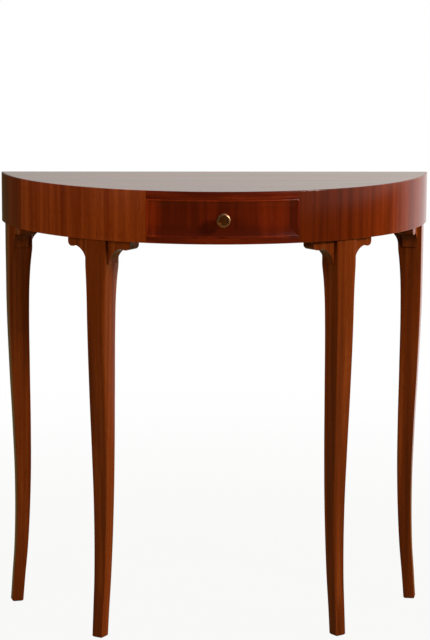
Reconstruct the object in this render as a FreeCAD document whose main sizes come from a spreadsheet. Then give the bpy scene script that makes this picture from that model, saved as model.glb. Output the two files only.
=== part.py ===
import FreeCAD, Part
import os
import re
import Sketcher

# Half-round side table with one bow-fronted drawer.
# Millimetres, +Z up, front towards -Y, origin on the floor under the middle of the table's box.
# Plan sizes are worked out about the axis of the round front, which stands behind the back edge.

SIZES = {
    # Overall
    "table_width": 800,
    "table_depth": 350,
    "table_height": 820,
    # Top and apron
    "apron_height": 92,
    "top_thickness": 10,
    "veneer_thickness": 2,
    "core_thickness": 19,
    "top_arris": 0.8,
    "top_edge_joint": 0.3,
    "upper_rail_height": 4.2,
    "lower_rail_height": 10,
    # Back rail
    "back_rail_thickness": 18,
    "back_rail_inset": 2,
    # Legs: shares are heights along the shaft, insets are taken from the head's outer face
    "front_leg_angle": 34,
    "rear_leg_inset": 2,
    "leg_set_back": 5,
    "leg_arris": 1.5,
    "foot_chamfer": 2,
    "head_height": 48,
    "post_width": 38,
    "foot_share": 0,
    "foot_inset": 1.5,
    "foot_width": 21,
    "ankle_share": 0.064,
    "ankle_inset": 4.7,
    "ankle_width": 21.5,
    "shin_share": 0.19,
    "shin_inset": 10.5,
    "shin_width": 23.4,
    "waist_share": 0.34,
    "waist_inset": 12,
    "waist_width": 26.5,
    "calf_share": 0.49,
    "calf_inset": 9.2,
    "calf_width": 30.2,
    "thigh_share": 0.67,
    "thigh_inset": 4,
    "thigh_width": 34.2,
    "knee_share": 0.85,
    "knee_inset": 0.3,
    "knee_width": 37.4,
    "neck_share": 0.915,
    "neck_inset": 0.1,
    "neck_width": 38.8,
    "head_share": 1,
    "head_inset": 0,
    "head_width": 44,
    # Brackets: depths are taken down from the apron's lower edge
    "bracket_length": 44.5,
    "bracket_depth": 44,
    "bracket_set_back": 6.5,
    "bracket_thickness": 28,
    "nose_depth": 8.5,
    "nose_radius": 8.5,
    "lobe_run": 10,
    "lobe_rise": 2,
    "bracket_step": 2.5,
    # Drawer front
    "drawer_opening_width": 267,
    "drawer_gap": 0.5,
    "drawer_front_thickness": 18,
    "field_sink": 2.5,
    # Moulding round the drawer front: heights are taken from the sunk field
    "moulding_inset": 0.3,
    "moulding_width": 14,
    "bead_width": 4,
    "bead_height": 3.7,
    "quirk_depth": 0.4,
    "cove_radius": 24,
    "moulding_edge": 0.5,
    # Drawer box
    "drawer_side_thickness": 11,
    "drawer_side_height": 54,
    "drawer_back_thickness": 10,
    "drawer_back_height": 40,
    "drawer_back_housing": 4,
    "drawer_back_set_in": 8,
    "drawer_bottom_thickness": 4,
    "drawer_bottom_lift": 8,
    "groove_depth": 5,
    "tail_width": 12,
    "tail_slope": 8,
    "tail_length": 11,
    "tail_spacing": 26,
    # What carries the drawer
    "running_gap": 0.3,
    "guide_gap": 0.3,
    "guide_width": 12,
    "guide_height": 30,
    "runner_width": 45,
    "runner_height": 9.5,
    "kicker_width": 20,
    "kicker_gap": 1,
    "stop_depth": 12,
    "stop_width": 20,
    "stop_height": 20,
    # Glue blocks under the top
    "block_length": 36,
    "block_size": 18,
    "block_chamfer": 10,
    # Knob and rose, with distances out from the field
    "knob_projection": 22,
    "knob_diameter": 25,
    "knob_neck_diameter": 9,
    "knob_base_diameter": 15,
    "knob_base_edge": 1.5,
    "knob_flare": 3.5,
    "knob_shoulder": 3,
    "knob_head_depth": 8,
    "knob_edge_radius": 2,
    "knob_dish_diameter": 18,
    "knob_dish_depth": 1.6,
    "knob_dish_bevel": 1,
    "rose_diameter": 19,
    "rose_thickness": 2,
    "rose_bevel": 1,
    "knob_screw_diameter": 4,
    "knob_screw_grip": 8,
    "knob_screw_head_diameter": 8,
    "knob_screw_head_depth": 2.6,
    "knob_screw_bevel": 1,
    # Wood screws
    "screw_diameter": 4,
    "screw_head_diameter": 8,
    "screw_head_depth": 2.5,
    "screw_tip": 5,
    "slot_width": 1,
    "slot_depth": 1.2,
    "leg_screw_length": 40,
    "leg_screw_rise": 14,
    "leg_screw_spacing": 52,
    "top_screw_bite": 8,
    "top_screw_spacing": 150,
    "guide_screw_bite": 7,
    "guide_screw_spacing": 130,
    "runner_screw_length": 45,
    "bottom_screw_length": 18,
    "bottom_screw_spacing": 85,
    # Dowels
    "bracket_dowel_diameter": 5,
    "bracket_dowel_length": 24,
    "bracket_dowel_place": 14,
    "rail_dowel_diameter": 5,
    "rail_dowel_length": 30,
    "runner_dowel_length": 24,
    "runner_dowel_place": 8,
    "back_dowel_diameter": 8,
    "back_dowel_length": 36,
    "back_dowel_rise": 28,
    "back_dowel_spacing": 24,
}

# Sizes that follow from the driving ones
DERIVED = {
    "radius": "(table_width ^ 2 / 4 + table_depth ^ 2) / (2 * table_depth)",
    "centre_set": "radius - table_depth",
    "core_radius": "radius - veneer_thickness",
    "inner_radius": "core_radius - core_thickness",
    "core_middle": "(core_radius + inner_radius) / 2",
    "top_radius": "core_radius - top_edge_joint",
    "apron_bottom": "table_height - apron_height",
    "top_under": "table_height - top_thickness",
    "rail_back": "-(centre_set + back_rail_inset)",
    "rail_front": "rail_back - back_rail_thickness",
    "rail_middle": "(rail_back + rail_front) / 2",
    "leg_outer": "radius - leg_set_back",
    "leg_inner": "leg_outer - head_width",
    "head_bottom": "apron_bottom - head_height",
    "rear_leg_angle": "(acos((centre_set + rear_leg_inset) / sqrt(leg_inner ^ 2 + head_width ^ 2 / 4))"
                      " - atan(head_width / 2 / leg_inner)) / 1 deg",
    "bracket_outer": "leg_outer - bracket_set_back",
    "bracket_inner": "bracket_outer - bracket_thickness",
    "opening_side": "drawer_opening_width / 2",
    "opening_angle": "asin(opening_side / core_middle) / 1 deg",
    "opening_bottom": "apron_bottom + lower_rail_height",
    "opening_top": "top_under - upper_rail_height",
    "lower_rail_middle": "apron_bottom + lower_rail_height / 2",
    "front_side": "opening_side - drawer_gap",
    "front_bottom": "opening_bottom + drawer_gap",
    "front_top": "opening_top - drawer_gap",
    "field_radius": "radius - field_sink",
    "front_inner": "field_radius - drawer_front_thickness",
    "moulding_angle": "asin((front_side - moulding_inset) / field_radius) / 1 deg",
    "moulding_top": "front_top - moulding_inset",
    "moulding_bottom": "front_bottom + moulding_inset",
    "side_inner": "front_side - drawer_side_thickness",
    "side_top": "front_bottom + drawer_side_height",
    "bottom_under": "front_bottom + drawer_bottom_lift",
    "bottom_upper": "bottom_under + drawer_bottom_thickness",
    "drawer_rear": "rail_front - stop_depth - running_gap",
    "drawer_back_rear": "drawer_rear - drawer_back_set_in",
    "runner_top": "front_bottom - running_gap",
    "guide_side": "opening_side + guide_gap",
    "carrier_side": "guide_side + guide_width",
    "kicker_bottom": "side_top + kicker_gap",
    "kicker_side": "(side_inner + front_side) / 2",
    "carrier_middle": "(rail_front - inner_radius) / 2",
    "knob_height": "(opening_bottom + opening_top) / 2",
    "knob_reach": "knob_projection - field_sink",
    "centre_y": "(table_depth + knob_reach) / 2 + centre_set",
}

STATIONS = ("foot", "ankle", "shin", "waist", "calf", "thigh", "knee", "neck", "head")
SIDES = {"left": -1, "right": 1}
CCW = 1
CW = -1
# How far a cutting outline runs past what it cuts
SPARE = 5
# Glue blocks between a front leg and a rear leg
BLOCKS = 3

doc = FreeCAD.newDocument("demilune_table")
nodes = {}


# Sheet and worked-out values

def make_sheet():
    """Driving sizes as plain numbers, each cell under its own alias."""
    sheet = doc.addObject("Spreadsheet::Sheet", "Size")
    for row, (name, number) in enumerate(SIZES.items(), start=1):
        sheet.set("A%d" % row, name)
        sheet.set("B%d" % row, str(number))
        sheet.setAlias("B%d" % row, name)
    doc.recompute()
    return sheet


def make_derived():
    """Variable set whose values follow the sheet by expressions."""
    work = doc.addObject("App::VarSet", "Work")
    for name, text in DERIVED.items():
        work.addProperty("App::PropertyFloat", name)
        work.setExpression(name, full(text))
    doc.recompute()
    return work


def full(text):
    """Expression with each size name led by the object that holds it."""
    def owner(match):
        word = match.group(0)
        if word in SIZES:
            return "Size." + word
        if word in DERIVED:
            return "Work." + word
        return word
    return re.sub(r"[A-Za-z_]\w*", owner, str(text))


def value(text):
    """Present number of an expression."""
    result = sheet.evalExpression(full(text))
    return float(getattr(result, "Value", result))


def bind(item, **properties):
    """Tie properties of a document object to expressions."""
    for name, text in properties.items():
        item.setExpression(name, full(text))
    return item


def placement(x, y, z, yaw=0, pitch=0, roll=0):
    """Expression of a place and a turn."""
    return full("create(<<placement>>; create(<<vector>>; %s; %s; %s); create(<<rotation>>; %s; %s; %s))"
                % (x, y, z, yaw, pitch, roll))


def place(item, x=0, y=0, z=0, yaw=0, pitch=0, roll=0):
    """Put an object at a place given from the round front's axis."""
    item.setExpression("Placement", placement(x, "centre_y + (%s)" % y, z, yaw, pitch, roll))
    return item


def node(label, item):
    """Name an object as a sub-part of the table."""
    item.Label = label
    nodes[label] = item
    return item


# Sketched features

def new_body(name):
    return doc.addObject("PartDesign::Body", name)


def outline(body, plane, points, arcs=None, lift=0, turn=0):
    """Closed sketch with every corner held from the sketch's origin.

    points are (x, y) expressions. arcs gives {edge: (radius, CCW or CW)} for edges that aren't straight.
    """
    arcs = arcs or {}
    sketch = body.newObject("Sketcher::SketchObject", body.Name + "_sketch")
    support = [f for f in body.Origin.OriginFeatures if f.Role == plane + "_Plane"]
    sketch.AttachmentSupport = [(support[0], "")]
    sketch.MapMode = "FlatFace"
    sketch.setExpression("AttachmentOffset", placement(0, 0, lift, 0, turn, 0))
    corners = [FreeCAD.Vector(value(x), value(y), 0) for x, y in points]
    ends = []
    for edge, start in enumerate(corners):
        end = corners[(edge + 1) % len(corners)]
        if edge in arcs:
            radius, way = arcs[edge]
            sketch.addGeometry(arc_between(start, end, value(radius), way), False)
            ends.append((1, 2) if way == CCW else (2, 1))
        else:
            sketch.addGeometry(Part.LineSegment(start, end), False)
            ends.append((1, 2))
    for edge, (first, _) in enumerate(ends):
        before = (edge - 1) % len(ends)
        sketch.addConstraint(Sketcher.Constraint("Coincident", before, ends[before][1], edge, first))
    for edge, (x, y) in enumerate(points):
        first = ends[edge][0]
        hold(sketch, Sketcher.Constraint("DistanceX", -1, 1, edge, first, corners[edge].x), x)
        hold(sketch, Sketcher.Constraint("DistanceY", -1, 1, edge, first, corners[edge].y), y)
    for edge, (radius, _) in arcs.items():
        hold(sketch, Sketcher.Constraint("Radius", edge, value(radius)), radius)
    return sketch


def hold(sketch, constraint, text):
    """Add a sized constraint and tie it to an expression."""
    index = sketch.addConstraint(constraint)
    sketch.setExpression("Constraints[%d]" % index, full(text))


def arc_between(start, end, radius, way):
    """Arc of less than a half turn from start to end."""
    chord = end - start
    rise = max(radius ** 2 - chord.Length ** 2 / 4, 0) ** 0.5
    side = FreeCAD.Vector(-chord.y, chord.x, 0).normalize()
    centre = (start + end) * 0.5 + side * rise * way
    first, last = (start, end) if way == CCW else (end, start)
    axis = FreeCAD.Vector(0, 0, 1)
    ring = Part.Circle(centre, axis, radius)
    return Part.ArcOfCircle(ring, ring.parameter(first), ring.parameter(last))


def pad(body, sketch, length):
    feature = body.newObject("PartDesign::Pad", body.Name + "_pad")
    feature.Profile = sketch
    return bind(feature, Length=length)


def pocket(body, sketch):
    """Cut the sketch right through the body, both ways."""
    feature = body.newObject("PartDesign::Pocket", body.Name + "_pocket")
    feature.Profile = sketch
    feature.Type = "ThroughAll"
    feature.SideType = "Symmetric"
    return feature


def loft(body, sections):
    """Smooth solid through sections of like outline."""
    feature = body.newObject("PartDesign::AdditiveLoft", body.Name + "_loft")
    feature.Profile = sections[0]
    feature.Sections = sections[1:]
    return feature


def revolve(body, sketch, angle=360):
    """Turn the sketch about its own upright axis, half the angle to each side."""
    feature = body.newObject("PartDesign::Revolution", body.Name + "_turning")
    feature.Profile = sketch
    feature.ReferenceAxis = (sketch, ["V_Axis"])
    feature.Midplane = True
    return bind(feature, Angle=angle)


def dress(body, kind, edges, **sizes):
    """Fillet or chamfer on the edges that a test picks from the body's last feature."""
    doc.recompute()
    tip = body.Tip
    names = ["Edge%d" % (i + 1) for i, edge in enumerate(tip.Shape.Edges) if edges(edge.BoundBox)]
    feature = body.newObject("PartDesign::" + kind, body.Name + "_" + kind.lower())
    feature.Base = (tip, names)
    return bind(feature, **sizes)


# Solids and booleans

def board(name, x, y, z, length, width, height):
    """Straight board by its lower left front corner."""
    box = bind(doc.addObject("Part::Box", name), Length=length, Width=width, Height=height)
    return place(box, x, y, z)


def rod(name, radius, length):
    return bind(doc.addObject("Part::Cylinder", name), Radius=radius, Height=length)


def common(item, tool):
    """What two solids share."""
    result = doc.addObject("Part::Common", item.Name + "_fitted")
    result.Base = item
    result.Tool = tool
    return result


def inside(item, radius):
    """What lies within a radius of the round front's axis."""
    return common(item, place(rod(item.Name + "_drum", radius, "table_height")))


def cut(item, *tools):
    """What is left of a solid once each tool is taken from it in turn."""
    for tool in tools:
        result = doc.addObject("Part::Cut", item.Name + "_cut")
        result.Base = item
        result.Tool = tool
        item = result
    return item


def fuse(item, *others):
    result = doc.addObject("Part::MultiFuse", item.Name + "_joined")
    result.Shapes = [item, *others]
    return result


def group(name, items):
    """Separate solids under one name."""
    result = doc.addObject("Part::Compound", name)
    result.Links = list(items)
    return result


def copies(name, master, places):
    """Group of copies of one piece, each at its own place and turn."""
    links = []
    for number, where in enumerate(places):
        link = doc.addObject("App::Link", "%s_%d" % (name, number + 1))
        link.LinkedObject = master
        links.append(place(link, **where))
    return node(name, group(name, links))


# Plan outlines about the round front's axis

def on_arc(radius, x):
    """Front y of a circle about the axis, at x."""
    return "-sqrt((%s) ^ 2 - (%s) ^ 2)" % (radius, x)


def back_corner(radius):
    """Half width of a circle about the axis where it meets the back edge."""
    return "sqrt((%s) ^ 2 - centre_set ^ 2)" % radius


def curved_band(body, left, right, outer, inner, lift):
    """Plan of a curved board between two planes that run front to back."""
    points = [(left, on_arc(outer, left)), (right, on_arc(outer, right)),
              (right, on_arc(inner, right)), (left, on_arc(inner, left))]
    return outline(body, "XY", points, {0: (outer, CCW), 2: (inner, CW)}, lift)


def side_band(body, side, outer, inner, lift):
    """Plan of a curved board from the drawer opening round to the back edge."""
    opening = [("opening_side", on_arc(r, "opening_side")) for r in (outer, inner)]
    back = [(back_corner(r), "-centre_set") for r in (outer, inner)]
    points = [opening[0], back[0], back[1], opening[1]]
    if side < 0:
        points = [("-(%s)" % x, y) for x, y in (back[0], opening[0], opening[1], back[1])]
    return outline(body, "XY", points, {0: (outer, CCW), 2: (inner, CW)}, lift)


def beside_post(y):
    """Half width, at y, between the inner faces of the rear legs."""
    return "(leg_inner + (%s) * cos(rear_leg_angle)) / sin(rear_leg_angle)" % y


# Fasteners

def wood_screw(name, length):
    """Slotted countersunk screw, head up, its top at the local origin."""
    body = new_body(name)
    points = [("0", "0"), ("screw_head_diameter / 2", "0"), ("screw_diameter / 2", "-screw_head_depth"),
              ("screw_diameter / 2", "screw_tip - (%s)" % length), ("0", "-(%s)" % length)]
    revolve(body, outline(body, "XZ", points))
    half = "slot_width / 2"
    slot = [("-" + half, "-slot_depth"), (half, "-slot_depth"), (half, SPARE), ("-" + half, SPARE)]
    pocket(body, outline(body, "XZ", slot))
    return body


def dowel(name, diameter, length):
    """Round dowel along the local upright axis, its middle at the local origin."""
    body = new_body(name)
    half = "%s / 2" % length
    points = [("0", "-" + half), ("%s / 2" % diameter, "-" + half), ("%s / 2" % diameter, half), ("0", half)]
    revolve(body, outline(body, "XZ", points))
    return body


def leg_angles():
    """Turn of each leg about the axis, by corner."""
    return {"%s_%s" % (end, name): "%d * %s_leg_angle" % (side, end)
            for end in ("front", "rear") for name, side in SIDES.items()}


def make_leg_screws():
    master = wood_screw("leg_screw", "leg_screw_length")
    places = [dict(x="leg_inner * sin(%s)" % turn, y="-leg_inner * cos(%s)" % turn,
                   z="apron_bottom + leg_screw_rise + %d * leg_screw_spacing" % row, yaw=turn, roll=-90)
              for turn in leg_angles().values() for row in range(2)]
    return copies("leg_screws", master, places)


def make_top_screws():
    master = wood_screw("top_screw", "top_under - kicker_bottom + top_screw_bite")
    places = [dict(x="%d * kicker_side" % side, z="kicker_bottom", pitch=180,
                   y="carrier_middle + %d * top_screw_spacing / 2" % row)
              for side in SIDES.values() for row in (-1, 1)]
    return copies("top_screws", master, places)


def make_guide_screws():
    master = wood_screw("guide_screw", "guide_height + guide_screw_bite")
    places = [dict(x="%d * (guide_side + guide_width / 2)" % side, z="runner_top + guide_height",
                   y="carrier_middle + %d * guide_screw_spacing / 2" % row)
              for side in SIDES.values() for row in (-1, 1)]
    return copies("guide_screws", master, places)


def make_runner_screws():
    master = wood_screw("runner_screw", "runner_screw_length")
    places = [dict(x="%d * (carrier_side - runner_width / 2)" % side, y="rail_back",
                   z="runner_top - runner_height / 2", roll=-90)
              for side in SIDES.values()]
    return copies("runner_screws", master, places)


def make_bottom_screws():
    master = wood_screw("bottom_screw", "bottom_screw_length")
    places = [dict(x="%d * bottom_screw_spacing" % row, z="bottom_under", pitch=180,
                   y="drawer_back_rear - drawer_back_thickness / 2") for row in (-1, 0, 1)]
    return copies("drawer_bottom_screws", master, places)


def make_bracket_dowels():
    master = dowel("bracket_dowel", "bracket_dowel_diameter", "bracket_dowel_length")
    middle = "(inner_radius + bracket_outer) / 2"
    reach = "(head_width / 2 + bracket_dowel_place)"
    places = []
    for corner, turn in leg_angles().items():
        end, hand = corner.split("_")
        outward = SIDES[hand]
        for side in (-outward, outward) if end == "front" else (-outward,):
            angle = "%s + %d * asin(%s / (%s)) / 1 deg" % (turn, side, reach, middle)
            places.append(dict(x="(%s) * sin(%s)" % (middle, angle), y="-(%s) * cos(%s)" % (middle, angle),
                               z="apron_bottom"))
        if end == "rear":
            x = "%d * (%s - bracket_dowel_place)" % (outward, beside_post("rail_middle"))
            places.append(dict(x=x, y="rail_middle", z="apron_bottom"))
    return copies("bracket_dowels", master, places)


def make_rail_dowels():
    master = dowel("rail_dowel", "rail_dowel_diameter", "rail_dowel_length")
    places = [dict(x="%d * opening_side" % side, y=on_arc("core_middle", "opening_side"),
                   z="lower_rail_middle", yaw="%d * opening_angle" % side, pitch=90)
              for side in SIDES.values()]
    return copies("rail_dowels", master, places)


def make_runner_dowels():
    master = dowel("runner_dowel", "rail_dowel_diameter", "runner_dowel_length")
    x = "(carrier_side - runner_width + runner_dowel_place)"
    places = [dict(x="%d * %s" % (side, x), y=on_arc("inner_radius", x), z="lower_rail_middle", roll=90)
              for side in SIDES.values()]
    return copies("runner_dowels", master, places)


def make_back_rail_dowels():
    master = dowel("back_rail_dowel", "back_dowel_diameter", "back_dowel_length")
    places = [dict(x="%d * %s" % (side, beside_post("rail_middle")), y="rail_middle",
                   z="apron_bottom + back_dowel_rise + %d * back_dowel_spacing" % row, pitch=90)
              for side in SIDES.values() for row in range(2)]
    return copies("back_rail_dowels", master, places)


# Top, apron and rails

def make_top():
    body = new_body("top_board")
    corner = back_corner("top_radius")
    points = [("-" + corner, "-centre_set"), (corner, "-centre_set")]
    plan = outline(body, "XY", points, {0: ("top_radius", CCW)}, "top_under")
    pad(body, plan, "top_thickness")
    node("top_panel", cut(place(body), nodes["top_screws"]))


def edged_hoop(name, bottom):
    """Turned hoop as thick as the veneer, with its upper outer edge bevelled."""
    body = new_body(name)
    points = [("-core_radius", bottom), ("-core_radius", "table_height"),
              ("top_arris - radius", "table_height"), ("-radius", "table_height - top_arris"),
              ("-radius", bottom)]
    revolve(body, outline(body, "YZ", points))
    return place(body)


def front_block(name, left, length):
    """Block in front of the back edge, between two planes that run front to back."""
    return board(name, left, "-table_width", 0, length, "table_width - centre_set", "table_height")


def make_top_edge_band():
    span = front_block("edge_band_span", "-opening_side", "2 * opening_side")
    node("top_edge_band", common(edged_hoop("edge_band_hoop", "top_under"), span))


def make_apron(name, side):
    """Curved core with its upright-grain veneer, which runs up over the top's edge."""
    core = new_body("apron_core_" + name)
    plan = side_band(core, side, "core_radius", "inner_radius", "apron_bottom")
    pad(core, plan, "top_under - apron_bottom")
    fasteners = [nodes[n] for n in ("leg_screws", "bracket_dowels", "rail_dowels")]
    node("apron_" + name, cut(place(core), *fasteners))
    left = "opening_side" if side > 0 else "-table_width"
    span = front_block("veneer_span_" + name, left, "table_width - opening_side")
    node("apron_veneer_" + name, common(edged_hoop("veneer_hoop_" + name, "apron_bottom"), span))


def make_front_rail(label, bottom, height, *fasteners):
    body = new_body(label + "_blank")
    plan = curved_band(body, "-opening_side", "opening_side", "radius", "inner_radius", bottom)
    pad(body, plan, height)
    place(body)
    node(label, cut(body, *fasteners) if fasteners else body)


def make_back_rail():
    body = new_body("back_rail_blank")
    back, front = beside_post("rail_back"), beside_post("rail_front")
    points = [("-" + back, "rail_back"), ("-" + front, "rail_front"),
              (front, "rail_front"), (back, "rail_back")]
    pad(body, outline(body, "XY", points, lift="apron_bottom"), "top_under - apron_bottom")
    fasteners = [nodes[n] for n in ("runner_screws", "back_rail_dowels", "bracket_dowels")]
    node("back_rail", cut(place(body), *fasteners))


# Legs and brackets

def eased_square(body, face, width, lift):
    """Square with rounded corners, its outer side at a distance from the axis."""
    half = "(%s) / 2" % width
    ease = "leg_arris"
    front = "-(%s)" % face
    back = "(%s) - (%s)" % (width, face)
    points = [("%s - %s" % (ease, half), front), ("%s - %s" % (half, ease), front),
              (half, "%s + %s" % (front, ease)), (half, "%s - %s" % (back, ease)),
              ("%s - %s" % (half, ease), back), ("%s - %s" % (ease, half), back),
              ("-" + half, "%s - %s" % (back, ease)), ("-" + half, "%s + %s" % (front, ease))]
    return outline(body, "XY", points, {edge: (ease, CCW) for edge in (1, 3, 5, 7)}, lift)


def make_leg(corner, turn):
    """Sabre shaft, square head under the apron and a post that stands behind it."""
    body = new_body("leg_%s_blank" % corner)
    height = "foot_chamfer + (head_bottom - foot_chamfer) * %s_share"
    sections = [eased_square(body, "leg_outer - %s_inset" % s, "%s_width" % s, height % s) for s in STATIONS]
    loft(body, sections)
    sole = eased_square(body, "leg_outer - foot_inset - foot_chamfer", "foot_width - 2 * foot_chamfer", 0)
    loft(body, [sole, eased_square(body, "leg_outer - foot_inset", "foot_width", "foot_chamfer")])
    pad(body, eased_square(body, "leg_outer", "head_width", "head_bottom"), "head_height")
    half = "post_width / 2"
    seat = on_arc("inner_radius", half)
    points = [("-" + half, seat), (half, seat), (half, "-leg_inner"), ("-" + half, "-leg_inner")]
    post = outline(body, "XY", points, {0: ("inner_radius", CCW)}, "apron_bottom")
    pad(body, post, "top_under - apron_bottom")
    fasteners = [nodes["leg_screws"]]
    if corner.startswith("rear"):
        fasteners.append(nodes["back_rail_dowels"])
    node("leg_" + corner, cut(place(body, yaw=turn), *fasteners))


def bracket_curve(body, start, side):
    """Cut away what lies below the bracket's lobe and cavetto; start is the end at the leg."""
    def point(along, depth):
        return "%s + %d * (%s)" % (start, side, along), "apron_bottom - (%s)" % depth

    lobe = "bracket_length - nose_radius"
    lobe_depth = "nose_depth + nose_radius"
    cusp = "bracket_length - nose_radius - lobe_run"
    cusp_depth = "nose_depth + nose_radius - lobe_rise"
    run = "(%s - bracket_step)" % cusp
    drop = "(bracket_depth - (%s))" % cusp_depth
    beyond = "bracket_length + %d" % SPARE
    below = "bracket_depth + %d" % SPARE
    points = [point("bracket_length", "nose_depth"), point(lobe, lobe_depth), point(cusp, cusp_depth),
              point("bracket_step", "bracket_depth"), point("bracket_step", below), point(beyond, below),
              point(beyond, "nose_depth")]
    lobe_way, cavetto_way = (CW, CCW) if side > 0 else (CCW, CW)
    arcs = {0: ("nose_radius", lobe_way),
            1: ("(lobe_run ^ 2 + lobe_rise ^ 2) / (2 * lobe_rise)", lobe_way),
            2: ("(%s ^ 2 + %s ^ 2) / (2 * %s)" % (run, drop, run), cavetto_way)}
    pocket(body, outline(body, "XZ", points, arcs))


def make_bracket(label, turn, side):
    """Bracket that follows the curve of the apron from the side of a leg's head."""
    body = new_body(label + "_blank")
    near = "%d * head_width / 2" % side
    far = "%d * (head_width / 2 + bracket_length)" % side
    left, right = (near, far) if side > 0 else (far, near)
    plan = curved_band(body, left, right, "bracket_outer", "bracket_inner", "apron_bottom - bracket_depth")
    pad(body, plan, "bracket_depth")
    bracket_curve(body, near, side)
    node(label, cut(place(body, yaw=turn), nodes["bracket_dowels"]))


def make_back_bracket(label, side):
    """Straight bracket under the back rail, cut to the slant of the leg's inner face."""
    body = new_body(label + "_blank")
    ends = [beside_post("rail_back"), beside_post("rail_front")]
    inner_end = "%s - bracket_length" % ends[1]
    points = [(ends[0], "rail_back"), (inner_end, "rail_back"),
              (inner_end, "rail_front"), (ends[1], "rail_front")]
    points = [("%d * (%s)" % (side, x), y) for x, y in points]
    pad(body, outline(body, "XY", points, lift="apron_bottom - bracket_depth"), "bracket_depth")
    bracket_curve(body, "%d * (%s)" % (side, ends[1]), -side)
    node(label, cut(place(body), nodes["bracket_dowels"]))


def make_brackets():
    for corner, turn in leg_angles().items():
        end, hand = corner.split("_")
        outward = SIDES[hand]
        if end == "front":
            make_bracket("bracket_%s_outer" % corner, turn, outward)
            make_bracket("bracket_%s_inner" % corner, turn, -outward)
        else:
            make_bracket("bracket_%s_forward" % corner, turn, -outward)
            make_back_bracket("bracket_%s_inner" % corner, outward)


# Drawer

def make_tails(name, side):
    """Dovetails on the front end of a drawer side."""
    shoulder = on_arc("front_inner", "front_side")
    root = "(%s + tail_length)" % shoulder
    tip = "(%s - 2 * tail_length)" % shoulder
    tails = []
    for row in (-1, 1):
        body = new_body("tail_%s_%s" % (name, "upper" if row > 0 else "lower"))
        middle = "front_bottom + drawer_side_height / 2 + %d * tail_spacing / 2" % row

        def edge(y, way):
            spread = "tail_width / 2 + (%s - (%s)) * tan(tail_slope)" % (shoulder, y)
            return y, "%s + %d * (%s)" % (middle, way, spread)

        points = [edge(root, -1), edge(tip, -1), edge(tip, 1), edge(root, 1)]
        lift = "side_inner" if side > 0 else "-front_side"
        pad(body, outline(body, "YZ", points, lift=lift), "drawer_side_thickness")
        tails.append(inside(place(body), "front_inner + tail_length"))
    return tails


def make_drawer_box():
    width = "2 * (side_inner + groove_depth)"
    bottom = board("bottom_sheet", "-(side_inner + groove_depth)", "-field_radius", "bottom_under", width,
                   "drawer_back_rear + field_radius", "drawer_bottom_thickness")
    bottom = inside(bottom, "front_inner + groove_depth")
    node("drawer_bottom", cut(bottom, nodes["drawer_bottom_screws"]))
    back = board("drawer_back_board", "-(side_inner + drawer_back_housing)",
                 "drawer_back_rear - drawer_back_thickness", "bottom_upper",
                 "2 * (side_inner + drawer_back_housing)", "drawer_back_thickness", "drawer_back_height")
    node("drawer_back", cut(back, nodes["drawer_bottom_screws"]))
    tails = []
    for name, side in SIDES.items():
        left = "side_inner" if side > 0 else "-front_side"
        blank = board("drawer_side_board_" + name, left, "-field_radius", "front_bottom",
                      "drawer_side_thickness", "drawer_rear + field_radius", "drawer_side_height")
        own_tails = make_tails(name, side)
        tailed = fuse(inside(blank, "front_inner"), *own_tails)
        node("drawer_side_" + name, cut(tailed, bottom, back))
        tails.extend(own_tails)
    front = new_body("drawer_front_blank")
    plan = curved_band(front, "-front_side", "front_side", "field_radius", "front_inner", "front_bottom")
    pad(front, plan, "front_top - front_bottom")
    bore = rod("knob_bore", "knob_screw_diameter / 2", "drawer_front_thickness + %d" % (2 * SPARE))
    place(bore, y="%d - front_inner" % SPARE, z="knob_height", roll=90)
    node("drawer_front", cut(place(front), bottom, bore, *tails))


def moulding_section():
    """Bead, quirk and cove as (distance in from the edge, height above the field)."""
    crown = "bead_height - bead_width / 2"
    return [("0", "0"), ("0", crown), ("bead_width / 2", "bead_height"), ("bead_width", crown),
            ("bead_width", crown + " - quirk_depth"), ("moulding_width", "moulding_edge"),
            ("moulding_width", "0")]


def moulding_arcs(bead_way):
    """The section's curved edges: two quarters of the bead, and the cove."""
    quarter = ("bead_width / 2", bead_way)
    return {1: quarter, 2: quarter, 4: ("cove_radius", -bead_way)}


def mitre(body, corner_z, side, way, turn=0, keep_rail=False):
    """Cut an end at 45 degrees; way is up or down from the corner, keep_rail keeps the level strip."""
    inward = "(moulding_width + %d)" % SPARE
    outside = ("%d" % (side * SPARE), "%s + %d" % (corner_z, way * SPARE))
    within = ("%d * %s" % (-side, inward), "%s - %d * %s" % (corner_z, way, inward))
    third = (outside[0], within[1]) if keep_rail else (within[0], outside[1])
    pocket(body, outline(body, "XZ", [outside, within, third], turn=turn))


def make_mouldings():
    for name, way in (("top", 1), ("bottom", -1)):
        body = new_body("moulding_%s_blank" % name)
        edge = "moulding_" + name
        points = [("-(field_radius + %s)" % h, "%s - %d * (%s)" % (edge, way, w))
                  for w, h in moulding_section()]
        revolve(body, outline(body, "YZ", points, moulding_arcs(CCW * way)), "2 * moulding_angle")
        for side in SIDES.values():
            mitre(body, edge, side, way, "%d * moulding_angle" % side, keep_rail=True)
        node("drawer_moulding_" + name, place(body))
    for name, side in SIDES.items():
        body = new_body("moulding_%s_blank" % name)
        points = [("%d * (%s)" % (-side, w), "-(field_radius + %s)" % h) for w, h in moulding_section()]
        points[-1] = (points[-1][0], on_arc("field_radius", "moulding_width"))
        arcs = moulding_arcs(CW * side)
        arcs[6] = ("field_radius", CCW * side)
        pad(body, outline(body, "XY", points, arcs, "moulding_bottom"), "moulding_top - moulding_bottom")
        mitre(body, "moulding_top", side, 1)
        mitre(body, "moulding_bottom", side, -1)
        node("drawer_moulding_" + name, place(body, yaw="%d * moulding_angle" % side))


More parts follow.
